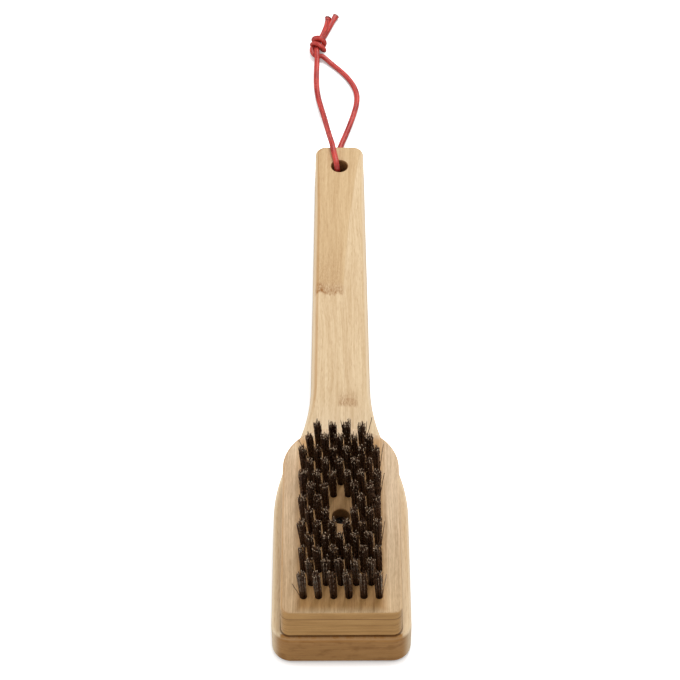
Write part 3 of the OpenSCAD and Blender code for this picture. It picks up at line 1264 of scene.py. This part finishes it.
@dataclass
class BristleField:
    """Where the tufts stand on the head block."""

    rows: int = 13
    row_pitch: float = 6.7
    tuft_pitch: float = 6.5
    first_y: float = 10.8
    bare_patch: float = 8.0
    well_back: float = 1.7
    corner_reach: float = 16.0
    corner_x: float = 4.25
    corner_y: float = 80.0

    def middle_y(self) -> float:
        """Where the middle row is."""
        return self.first_y + self.row_pitch * (self.rows - 1) / 2

    def well_y(self) -> float:
        """Where the screw well is, a little behind the middle row."""
        return self.middle_y() + self.well_back

    def row(self, number: int) -> list[tuple[float, float]]:
        """The places of one row's tufts, counted from 0 at the front.

        Args:
            number: The row's number.

        Returns:
            The place of each tuft.
        """
        y = self.first_y + self.row_pitch * number
        spread = [-2.5, -1.5, -0.5, 0.5, 1.5, 2.5] if number % 2 == 0 else [-2, -1, 0, 1, 2]
        places = []
        for step in spread:
            x = step * self.tuft_pitch
            by_well = math.hypot(x, y - self.middle_y()) < self.bare_patch
            over = (max(0.0, abs(x) - self.corner_x), max(0.0, y - self.corner_y))
            outside = min(over) > 0 and math.hypot(*over) > self.corner_reach
            if not by_well and not outside:
                places.append((x, y))
        return places


@dataclass
class HeadBlock:
    """The block that holds the bristles, with a drilled hole for each tuft and for the screw."""

    field: BristleField
    length: float = 100.0
    back_radius: float = 22.0
    edge: float = 1.0
    tuft_hole: float = 1.55
    tuft_hole_depth: float = 3.0
    tuft_hole_chamfer: float = 0.12
    tuft_hole_sides: int = 14
    well_radius: float = 4.0
    well_depth: float = 7.0
    well_chamfer: float = 0.3
    front_steps: int = 10
    side_steps: int = 8
    back_steps: int = 24

    def rim(self) -> list[RimPoint]:
        """The whole outline.

        Returns:
            The outline's points, in order.
        """
        half_width = BLOCK_WIDTH / 2
        front = (half_width - BLOCK_CORNER, BLOCK_LEDGE + BLOCK_CORNER)
        back = (half_width - self.back_radius, BLOCK_LEDGE + self.length - self.back_radius)
        half = rim_arc(front, BLOCK_CORNER, -90, 0, self.edge, self.front_steps)
        for step in range(1, self.side_steps):
            y = front[1] + (back[1] - front[1]) * step / self.side_steps
            half.append(RimPoint(half_width, y, 1.0, 0.0, self.edge))
        half += rim_arc(back, self.back_radius, 0, 90, self.edge, self.back_steps)
        return both_sides(half)

    def build(self, surface: Material, drilled: Material) -> None:
        """Builds and dresses the block.

        Args:
            surface: The material of its outside.
            drilled: The material of its holes.
        """
        slab = Slab(self.rim(), BOARD_TOP, BLOCK_TOP)
        slab.walls(round_bottom=False)
        tuft_hole = (self.tuft_hole, self.tuft_hole_depth, self.tuft_hole_chamfer)
        for number in range(self.field.rows):
            for place in self.field.row(number):
                slab.blind_hole(place, *tuft_hole, self.tuft_hole_sides)
        well = (0.0, self.field.well_y())
        slab.blind_hole(well, self.well_radius, self.well_depth, self.well_chamfer, HOLE_SIDES)
        slab.close()
        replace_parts(slab.finish("bamboo_head_block", surface, drilled), "head_block")


@dataclass(frozen=True)
class Stray:
    """A wire that has sprung out of its tuft."""

    row: int
    x: float
    y: float
    lean_x: float
    lean_y: float
    length: float
    sunk: float = 0.5

    def ends(self) -> tuple[Vector, Vector]:
        """Its foot, a little below the block's top, and its cut end."""
        foot = Vector((self.x, self.y, BLOCK_TOP - self.sunk))
        up = math.sqrt(self.length**2 - self.lean_x**2 - self.lean_y**2)
        return foot, foot + Vector((self.lean_x, self.lean_y, up))


@dataclass
class WireTufts:
    """The tufts of crimped wire, one piece for each row."""

    field: BristleField
    wires: int = 58
    wire_radius: float = 0.15
    base_radius: float = 1.42
    tip_radius: float = 1.9
    height: float = 17.5
    sunk: float = 1.2
    segments: int = 12
    sides: int = 4
    shapes: int = 12
    side_lean: float = -0.7
    golden_turn: float = 2.39996
    uneven_turn: float = 0.3
    wave: tuple[float, float] = (3.4, 4.6)
    crimp: tuple[float, float] = (0.06, 0.2)
    spread: tuple[float, float] = (0.82, 1.12)
    uneven_height: tuple[float, float] = (-1.1, 0.3)
    short_share: float = 0.35
    shortened: tuple[float, float] = (0.5, 6.0)
    long_share: float = 0.1
    splayed: tuple[float, float] = (1.0, 1.35)
    lengthened: tuple[float, float] = (0.4, 1.6)
    uneven_side_lean: float = 0.35
    uneven_lean: float = 0.3
    pressed: tuple[float, float] = (0.975, 1.0)
    seed: int = 66
    strays: tuple[Stray, ...] = (
        Stray(0, -16.9, 9.9, -4.2, 1.4, 10.5),
        Stray(0, 17.6, 11.6, 1.6, 1.2, 14.5),
        Stray(3, 14.6, 31.2, 2.6, 0.6, 16.5),
        Stray(4, 17.6, 38.2, 1.4, 0.4, 17.0),
        Stray(4, -17.6, 38.0, -1.7, 0.2, 16.0),
        Stray(8, -17.7, 64.0, -1.2, 0.8, 16.0),
        Stray(8, 17.6, 64.6, 1.5, -0.3, 16.5),
        Stray(11, -14.3, 84.6, -4.6, 1.5, 13.5),
        Stray(10, 17.5, 78.4, 1.5, 2.4, 17.0),
        Stray(12, 10.9, 91.8, 3.2, 3.0, 17.5),
        Stray(12, -4.6, 91.6, -0.8, 1.6, 18.5),
        Stray(12, 4.2, 91.6, 0.3, 1.4, 18.7),
    )

    def straight_wire(self) -> Mesh:
        """A wire whose rings are one unit apart, which the crimped wires are made from.

        Returns:
            The wire's mesh.
        """
        mesh = bmesh.new()
        bmesh.ops.create_circle(mesh, cap_ends=True, segments=self.sides, radius=self.wire_radius)
        top = mesh.faces[:]
        for _ in range(self.segments):
            made = bmesh.ops.extrude_face_region(mesh, geom=top, use_keep_orig=len(mesh.faces) == 1)
            verts = [g for g in made["geom"] if isinstance(g, BMVert)]
            top = [g for g in made["geom"] if isinstance(g, BMFace)]
            bmesh.ops.translate(mesh, vec=(0, 0, 1), verts=verts)
        bmesh.ops.recalc_face_normals(mesh, faces=mesh.faces[:])
        data = bpy.data.meshes.new("straight_wire")
        mesh.to_mesh(data)
        mesh.free()
        return data

    def add_wire(self, mesh: BMesh, blank: Mesh, places: Sequence[Vector], shade: float) -> None:
        """Adds one wire.

        Args:
            mesh: The mesh that it goes into.
            blank: The straight wire.
            places: Where the middle of each of its rings is.
            shade: A number of its own, from 0 to 1, for its colour.
        """
        along_layer = mesh.verts.layers.float["along"]
        shade_layer = mesh.verts.layers.float["shade"]
        before = len(mesh.verts)
        mesh.from_mesh(blank)
        mesh.verts.ensure_lookup_table()
        for vertex in mesh.verts[before:]:
            number = round(vertex.co.z)
            place = places[number]
            vertex.co = (vertex.co.x + place.x, vertex.co.y + place.y, place.z)
            vertex[along_layer] = number / self.segments
            vertex[shade_layer] = shade

    def crimped(self, dice: random.Random, foot: Vector, tip: Vector) -> list[Vector]:
        """The ring places of one wire.

        Args:
            dice: Where its chances come from.
            foot: Its lower end.
            tip: Its cut end.

        Returns:
            One place for each ring.
        """
        wave = dice.uniform(*self.wave)
        size = dice.uniform(*self.crimp)
        phase = dice.uniform(0, math.tau)
        turn = dice.uniform(0, math.tau)
        heading = Vector((math.cos(turn), math.sin(turn), 0))
        places = []
        for number in range(self.segments + 1):
            share = number / self.segments
            place = foot.lerp(tip, share)
            swing = size * min(1.0, share * 4) * math.sin(math.tau * place.z / wave + phase)
            places.append(place + heading * (swing + size * share * share))
        return places

    def empty(self) -> BMesh:
        """A mesh with the two numbers that the wire finish reads.

        Returns:
            The mesh.
        """
        mesh = bmesh.new()
        mesh.verts.layers.float.new("along")
        mesh.verts.layers.float.new("shade")
        return mesh

    def tuft(self, blank: Mesh, dice: random.Random) -> Mesh:
        """One tuft round the origin, with its foot below z = 0.

        Args:
            blank: The straight wire.
            dice: Where its chances come from.

        Returns:
            The tuft's mesh.
        """
        mesh = self.empty()
        for number in range(self.wires):
            out = math.sqrt((number + 0.5) / self.wires)
            turn = number * self.golden_turn + dice.uniform(-self.uneven_turn, self.uneven_turn)
            heading = Vector((math.cos(turn), math.sin(turn), 0))
            foot = heading * (self.base_radius * out) + Vector((0, 0, -self.sunk))
            spread = self.tip_radius * out * dice.uniform(*self.spread)
            top = self.height + dice.uniform(*self.uneven_height)
            if dice.random() < self.short_share:
                top -= dice.uniform(*self.shortened)
            elif dice.random() < self.long_share:
                spread *= dice.uniform(*self.splayed)
                top += dice.uniform(*self.lengthened)
            tip = heading * spread + Vector((0, 0, top))
            self.add_wire(mesh, blank, self.crimped(dice, foot, tip), dice.random())
        data = bpy.data.meshes.new("tuft")
        mesh.to_mesh(data)
        mesh.free()
        return data

    def build(self, finish: Material) -> None:
        """Builds and dresses every row, from the front to the back.

        Args:
            finish: The wire's material.
        """
        dice = random.Random(self.seed)
        blank = self.straight_wire()
        kinds = [self.tuft(blank, dice) for _ in range(self.shapes)]
        for number in range(self.field.rows):
            mesh = self.empty()
            for x, y in self.field.row(number):
                before = len(mesh.verts)
                mesh.from_mesh(dice.choice(kinds))
                mesh.verts.ensure_lookup_table()
                turned = Matrix.Rotation(dice.uniform(0, math.tau), 4, "Z")
                sideways = dice.uniform(-self.uneven_side_lean, self.uneven_side_lean)
                leaning = Matrix.Identity(4)
                leaning[0][2] = (self.side_lean + sideways) / self.height
                leaning[1][2] = dice.uniform(-self.uneven_lean, self.uneven_lean) / self.height
                stretch = Matrix.Diagonal((1, 1, dice.uniform(*self.pressed), 1))
                place = Matrix.Translation((x, y, BLOCK_TOP)) @ leaning @ stretch @ turned
                bmesh.ops.transform(mesh, matrix=place, verts=mesh.verts[before:])
            for stray in self.strays:
                if stray.row == number:
                    wire = self.crimped(dice, *stray.ends())
                    self.add_wire(mesh, blank, wire, dice.random())
            bmesh.ops.transform(mesh, matrix=wood_matrix(), verts=mesh.verts[:])
            piece = finish_piece(f"wire_row_{number + 1:02d}", mesh, (finish,))
            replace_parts(piece, f"tuft_row_{number + 1:02d}")
        for data in [blank, *kinds]:
            bpy.data.meshes.remove(data)


def smooth_path(given: Sequence[Vector], spacing: float) -> list[Vector]:
    """Points on a smooth curve.

    Args:
        given: The points that the curve goes through.
        spacing: About how far apart the new points are.

    Returns:
        The new points, the first and last of them the given ones.
    """
    first = given[0] * 2 - given[1]
    last = given[-1] * 2 - given[-2]
    line = [first, *given, last]
    found = []
    for before, start, end, after in zip(line, line[1:], line[2:], line[3:]):
        steps = max(1, round((end - start).length / spacing))
        for step in range(steps):
            t = step / steps
            flat = start * 2 + (end - before) * t
            curved = (before * 2 - start * 5 + end * 4 - after) * t**2
            turned = (after - before + (start - end) * 3) * t**3
            found.append((flat + curved + turned) / 2)
    found.append(given[-1])
    return found


@dataclass
class CordStrand:
    """One half of the hanging cord, a flat lace from the middle of the hang hole to its cut end.

    The route is in millimetres of the shared frame, and the sizes are in metres.
    """

    name: str
    route: tuple[Place, ...]
    replaced: tuple[str, ...]
    half_width: float = 0.00148
    half_thickness: float = 0.00112
    diameter: float = 0.0024
    flare: float = 0.3
    flare_length: float = 0.003
    sides: int = 18
    spacing: float = 0.0007
    crease_radius: float = 1.2

    def build(self, finish: Material, exit_point: Vector) -> None:
        """Args:
            finish: The lace's material.
            exit_point: Not used.
        """
        path = smooth_path([Vector(point) * MM for point in self.route], self.spacing)
        length = sum((b - a).length for a, b in zip(path, path[1:]))
        mesh = bmesh.new()
        straight = mesh.verts.layers.float_vector.new("straight")
        order = mesh.verts.layers.int.new("order")
        start = bmesh.ops.create_circle(mesh, cap_ends=True, segments=self.sides, radius=1.0)
        for number, vertex in enumerate(start["verts"]):
            vertex[order] = number
        ring = start["verts"]
        caps = mesh.faces[:]
        ahead = (path[1] - path[0]).normalized()
        side = Vector((1.0, 0.0, 0.0))
        side = (side - ahead * side.dot(ahead)).normalized()
        left = length
        for index, middle in enumerate(path):
            if index:
                keep = len(mesh.faces) == 1
                made = bmesh.ops.extrude_face_region(mesh, geom=caps, use_keep_orig=keep)
                ring = [g for g in made["geom"] if isinstance(g, BMVert)]
                caps = [g for g in made["geom"] if isinstance(g, BMFace)]
                left -= (middle - path[index - 1]).length
            following = path[min(index + 1, len(path) - 1)]
            heading = (following - path[max(index - 1, 0)]).normalized()
            side = (side - heading * side.dot(heading)).normalized()
            up = heading.cross(side)
            size = 1.0 + self.flare * max(0.0, 1 - left / self.flare_length)
            for vertex in ring:
                turn = math.tau * vertex[order] / self.sides
                across = side * (math.cos(turn) * self.half_width)
                offset = across + up * (math.sin(turn) * self.half_thickness)
                vertex.co = middle + offset * size
                x = math.cos(turn) * self.crease_radius
                y = math.sin(turn) * self.crease_radius
                vertex[straight] = Vector((x, y, left / MM))
        bmesh.ops.recalc_face_normals(mesh, faces=mesh.faces[:])
        for edge in caps[0].edges:
            edge.smooth = False
        piece = finish_piece(self.name, mesh, (finish,))
        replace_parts(piece, *self.replaced)
        log.info("%s: %.1f mm long", self.name, length / MM)


@dataclass
class HangingCord:
    """The red lace through the hang hole, its halves knotted together beyond the handle's end."""

    exit_point: Place = (-0.0012, 0.1364, 0.0120)

    def over_strand(self) -> CordStrand:
        """The half that goes up out of the hole and over the handle's end.

        Returns:
            The strand.
        """
        route = (
            (-1.2, 136.4, 12.0), (-1.2, 136.5, 17.4), (-1.4, 137.6, 20.2), (-1.9, 140.6, 21.7),
            (-3.1, 147.5, 21.8), (-3.8, 152.5, 21.8), (-4.4, 157.0, 20.3), (-5.7, 169.0, 14.3),
            (-8.0, 190.0, 5.1), (-10.3, 204.0, 2.1), (-11.5, 211.0, 1.4), (-12.4, 219.0, 1.2),
            (-12.7, 227.0, 1.3), (-12.6, 234.0, 2.0), (-12.4, 239.5, 3.4), (-12.4, 244.0, 4.8),
            (-12.6, 247.6, 5.0), (-12.2, 250.2, 4.2), (-10.9, 251.8, 2.8), (-9.3, 250.6, 2.2),
            (-8.3, 248.7, 3.6), (-9.2, 248.2, 6.1), (-11.8, 249.6, 7.1), (-14.3, 251.5, 6.1),
            (-15.1, 252.7, 4.0), (-14.0, 253.6, 2.1), (-11.6, 253.9, 1.5), (-9.4, 253.5, 2.1),
            (-8.3, 253.5, 4.2), (-9.3, 254.0, 6.3), (-11.6, 254.9, 7.0), (-13.8, 255.9, 5.8),
            (-14.6, 256.9, 3.8), (-13.2, 258.0, 2.1), (-11.0, 259.4, 1.6), (-8.9, 262.0, 1.5),
            (-7.2, 266.2, 1.4), (-5.2, 271.4, 1.5), (-3.3, 276.4, 1.7), (-1.6, 280.2, 1.9),
        )
        return CordStrand("cord_over_end", route, ("hang_cord", "cord_tail_right"))

    def under_strand(self) -> CordStrand:
        """The half that goes down out of the hole and back under the handle's end.

        Returns:
            The strand.
        """
        route = (
            (-1.2, 136.4, 12.0), (-1.2, 136.3, 6.0), (-1.2, 137.1, 3.3), (-1.1, 138.8, 1.8),
            (-1.1, 141.1, 1.2), (-1.4, 147.0, 1.2), (-1.5, 154.0, 1.2), (-1.3, 161.0, 1.2),
            (-0.5, 167.5, 1.2), (1.4, 174.8, 1.2), (3.8, 182.5, 1.2), (6.2, 191.0, 1.2),
            (8.3, 199.5, 1.2), (9.7, 207.5, 1.2), (9.6, 215.0, 1.2), (7.7, 221.8, 1.2),
            (4.3, 228.5, 1.2), (0.1, 234.4, 1.2), (-3.6, 238.8, 1.3), (-7.0, 242.6, 1.8),
            (-9.6, 244.6, 2.5), (-12.1, 244.9, 2.3), (-14.1, 245.6, 2.8), (-15.1, 247.8, 3.5),
            (-14.8, 250.3, 4.1), (-13.3, 252.6, 4.2), (-11.7, 254.8, 4.2), (-10.4, 257.8, 4.1),
            (-9.3, 260.8, 4.0), (-8.3, 264.4, 3.8), (-7.4, 268.4, 3.2), (-6.7, 273.0, 2.3),
            (-6.2, 278.4, 1.9),
        )
        return CordStrand("cord_under_end", route, ("cord_knot", "cord_tail_left"))

    def build(self, finish: Material) -> None:
        """Builds both halves."""
        for strand in (self.over_strand(), self.under_strand()):
            strand.build(finish, Vector(self.exit_point))


@dataclass
class Hardware:
    """The screw in its well and the anchors that hold the tufts, which keep their CAD shapes."""

    rows: int

    def dress(self, screw: Material, anchor: Material) -> None:
        """Gives the steel parts their finishes.

        Args:
            screw: The screw's material.
            anchor: The anchors' material.
        """
        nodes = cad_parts
        dressed = {"head_screw": screw}
        for number in range(self.rows):
            dressed[f"anchor_row_{number + 1:02d}"] = anchor
        for name, material in dressed.items():
            slots = nodes[name].material_slots
            if not slots:
                nodes[name].data.materials.append(material)
            for slot in slots:
                slot.material = material
            log.info("%s: dressed", name)


@dataclass(frozen=True)
class Lamp:
    """A soft square lamp: where it hangs, the point it faces, its side's length and its watts."""

    name: str
    place: Place
    aim: Place
    size: float
    power: float

    def hang(self) -> None:
        """Adds the lamp."""
        data = bpy.data.lights.new(self.name, "AREA")
        data.shape = "SQUARE"
        data.size = self.size
        data.energy = self.power
        lamp = bpy.data.objects.new(self.name, data)
        lamp.location = self.place
        heading = Vector(self.aim) - Vector(self.place)
        lamp.rotation_euler = heading.to_track_quat("-Z", "Y").to_euler()
        bpy.context.scene.collection.objects.link(lamp)


@dataclass
class Studio:
    """The pale table, the soft lights and the camera."""

    camera_place: Place = (-0.0001, -0.62965, 0.76641)
    camera_tilt: float = 40.91
    lens: float = 107.7
    camera_roll: float = -0.24
    floor_half: float = 4.0
    dome: float = 0.5
    lamps: tuple[Lamp, ...] = (
        Lamp("key_lamp", (0.22, 0.8, 1.1), (0.0, 0.05, 0.0), 0.6, 10.4),
        Lamp("fill_lamp", (-0.1, -1.0, 0.75), (0.0, 0.0, 0.0), 0.9, 3.4),
        Lamp("left_lamp", (-1.3, 0.1, 0.4), (0.0, 0.05, 0.0), 0.8, 4.0),
        Lamp("right_lamp", (1.3, 0.1, 0.4), (0.0, 0.05, 0.0), 0.8, 2.4),
    )

    def camera(self) -> None:
        """Puts the camera where the photograph was taken from."""
        data = bpy.data.cameras.new("camera")
        data.lens = self.lens
        data.sensor_width = 36.0
        data.sensor_fit = "HORIZONTAL"
        data.clip_start = 0.05
        data.clip_end = 20.0
        camera = bpy.data.objects.new("camera", data)
        camera.location = self.camera_place
        tilt = Matrix.Rotation(math.radians(self.camera_tilt), 4, "X")
        roll = Matrix.Rotation(math.radians(self.camera_roll), 4, "Z")
        camera.rotation_euler = (tilt @ roll).to_euler()
        bpy.context.scene.collection.objects.link(camera)
        bpy.context.scene.camera = camera

    def floor(self) -> None:
        """Lays the table under the brush."""
        mesh = bmesh.new()
        bmesh.ops.create_grid(mesh, x_segments=2, y_segments=2, size=self.floor_half)
        data = bpy.data.meshes.new("table_top")
        mesh.to_mesh(data)
        mesh.free()
        data.materials.append(FloorFinish().material())
        table = bpy.data.objects.new("table_top", data)
        bpy.context.scene.collection.objects.link(table)

    def build(self) -> None:
        """Sets up the whole studio."""
        self.camera()
        self.floor()
        for lamp in self.lamps:
            lamp.hang()
        world = bpy.data.worlds.new("studio")
        world.use_nodes = True
        graph = Graph(world.node_tree)
        camera = graph.node("ShaderNodeLightPath").outputs["Is Camera Ray"]
        strength = graph.between(camera, 0.0, 1.0, self.dome, 1.0)
        values = {"Color": (1.0, 1.0, 1.0, 1.0), "Strength": strength}
        graph.feed(world.node_tree.nodes["Background"], values)
        bpy.context.scene.world = world
        bpy.context.scene.view_settings.view_transform = "Standard"
        log.info("studio: camera, table and %d lamps", len(self.lamps))


def bamboo_finishes() -> tuple[Material, Material]:
    """The finishes of the board and of the block.

    Returns:
        The board's material and the block's.
    """
    board = BambooFinish(
        name="bamboo_board",
        pale=rgb(228, 203, 163),
        deep=rgb(192, 158, 114),
        end_pale=rgb(188, 142, 88),
        end_deep=rgb(156, 110, 60),
        top=BOARD_TOP,
        foot=0.0,
        layer=6.0,
        strip=21.0,
        seam=1.4,
        slant=-0.012,
        fineness=1.0,
        glue=0.12,
        marks=(
            JointMark((-5.2, 200.0, 18.0), 7.6, 11.0, 0.85),
            JointMark((-10.4, 200.5, 18.0), 2.4, 9.0, 0.9),
            JointMark((-5.2, 207.0, 18.0), 7.0, 34.0, 0.32),
            JointMark((3.5, 129.5, 18.0), 5.0, 12.0, 0.65),
        ),
        tinted_patches=(TintedPatch(50.0, 60.0, 75.0, 14.0, (1.07, 1.12, 1.21, 1.0)),),
        dark_beyond=206.0,
        # The painted shade on the left edge starts about here along the board.
        left_shade_from=128.0,
        ply=0.12,
        # Painted shade on the ledge in front of the block.
        ledge_shade=TintedPatch(1.0, 26.5, 2.2, 0.5, rgb(164, 110, 42)),
        end_patch=0.8,
        # How strong the painted highlight on the rounded sides is.
        side_highlight=0.55,
    )
    block = BambooFinish(
        name="bamboo_block",
        pale=rgb(248, 220, 182),
        deep=rgb(178, 144, 106),
        end_pale=rgb(208, 164, 106),
        end_deep=rgb(168, 124, 72),
        top=BLOCK_TOP,
        foot=BOARD_TOP,
        layer=4.8,
        strip=24.0,
        seam=-11.0,
        slant=0.0,
        fineness=1.3,
        glue=0.2,
        tinted_patches=(
            # Painted shade between the tufts.
            TintedPatch(50.0, 19.0, 46.0, 2.5, (0.8, 0.63, 0.41, 1.0)),
            # Painted shadow of the tufts, darker towards the block's front.
            TintedPatch(0.0, 40.0, 30.0, 42.0, (0.8, 0.75, 0.64, 1.0)),
            # Painted shade on the left side of the block's top.
            TintedPatch(40.0, 6.0, 44.0, 5.0, (0.94, 0.9, 0.86, 1.0), -23.0),
        ),
        ply=0.75,
        end_patch=0.15,
    )
    return board.material(), block.material()


def main() -> None:
    """Builds the studio, then the cord, the wood, the bristles and the hardware."""
    logging.basicConfig(level=logging.INFO, format="%(message)s")
    Studio().build()
    HangingCord().build(LaceFinish().material())
    board_wood, block_wood = bamboo_finishes()
    drilled = DrilledFinish().material()
    field = BristleField()
    HandleBoard().build(board_wood, drilled)
    HeadBlock(field).build(block_wood, drilled)
    WireTufts(field).build(WireFinish().material())
    screw = SteelFinish("blackened_screw", rgb(92, 90, 86), rgb(46, 44, 42))
    anchor = SteelFinish("anchor_wire", rgb(196, 194, 190), rgb(150, 148, 142))
    Hardware(field.rows).dress(screw.material(), anchor.material())


if __name__ == "__main__":
    main()
